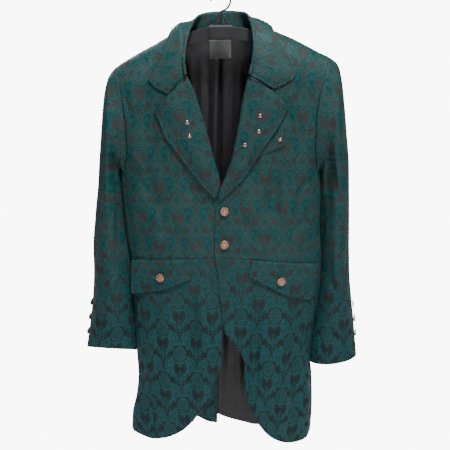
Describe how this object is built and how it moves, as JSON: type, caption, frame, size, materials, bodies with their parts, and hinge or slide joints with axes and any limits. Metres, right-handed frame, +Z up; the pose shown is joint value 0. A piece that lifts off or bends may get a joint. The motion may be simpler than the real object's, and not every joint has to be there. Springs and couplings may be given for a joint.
{
  "type": "steampunk jacket on a hanger",
  "caption": "Cutaway brocade tailcoat jacket with notched lapels, slanted hip flaps and copper buttons, hanging from the hook of its hanger.",
  "frame": {"origin": "inner top of the hanger's hook, where a rail carries it", "axes": "+Z up, -Y out of the jacket's front, +X towards the wearer's left"},
  "size_m": [0.619, 0.1286, 0.9998],
  "materials": {
    "brocade": "woven paisley brocade",
    "lining": "smooth satin lining",
    "label_weave": "plain woven label",
    "copper": "aged copper",
    "hanger_plastic": "moulded plastic",
    "hanger_wire": "dark wire"
  },
  "bodies": {
    "root": {"back_left": "brocade", "back_lining_left": "lining", "back_lining_right": "lining", "back_right": "brocade", "bodice_front_left": "brocade", "bodice_front_right": "brocade", "button_cuff_left_1": "copper", "button_cuff_left_2": "copper", "button_cuff_left_3": "copper", "button_cuff_right_1": "copper", "button_cuff_right_2": "copper", "button_cuff_right_3": "copper", "button_flap_left": "copper", "button_flap_right": "copper", "button_front_1": "copper", "button_front_2": "copper", "chest_welt": "brocade", "collar": "brocade", "flap_left": "brocade", "flap_right": "brocade", "hanger_arms": "hanger_plastic", "hanger_block": "hanger_plastic", "hanger_hook": "hanger_wire", "hanger_strut_left": "hanger_wire", "hanger_strut_right": "hanger_wire", "label": "label_weave", "lapel_left": "brocade", "lapel_right": "brocade", "rivet_lapel_left_1": "copper", "rivet_lapel_left_2": "copper", "rivet_lapel_left_3": "copper", "rivet_lapel_right_1": "copper", "rivet_lapel_right_2": "copper", "rivet_welt": "copper", "side_left": "brocade", "side_right": "brocade", "skirt_front_left": "brocade", "skirt_front_right": "brocade", "sleeve_left_top": "brocade", "sleeve_left_under": "brocade", "sleeve_right_top": "brocade", "sleeve_right_under": "brocade", "vent_facing": "brocade"}
  },
  "joints": []
}
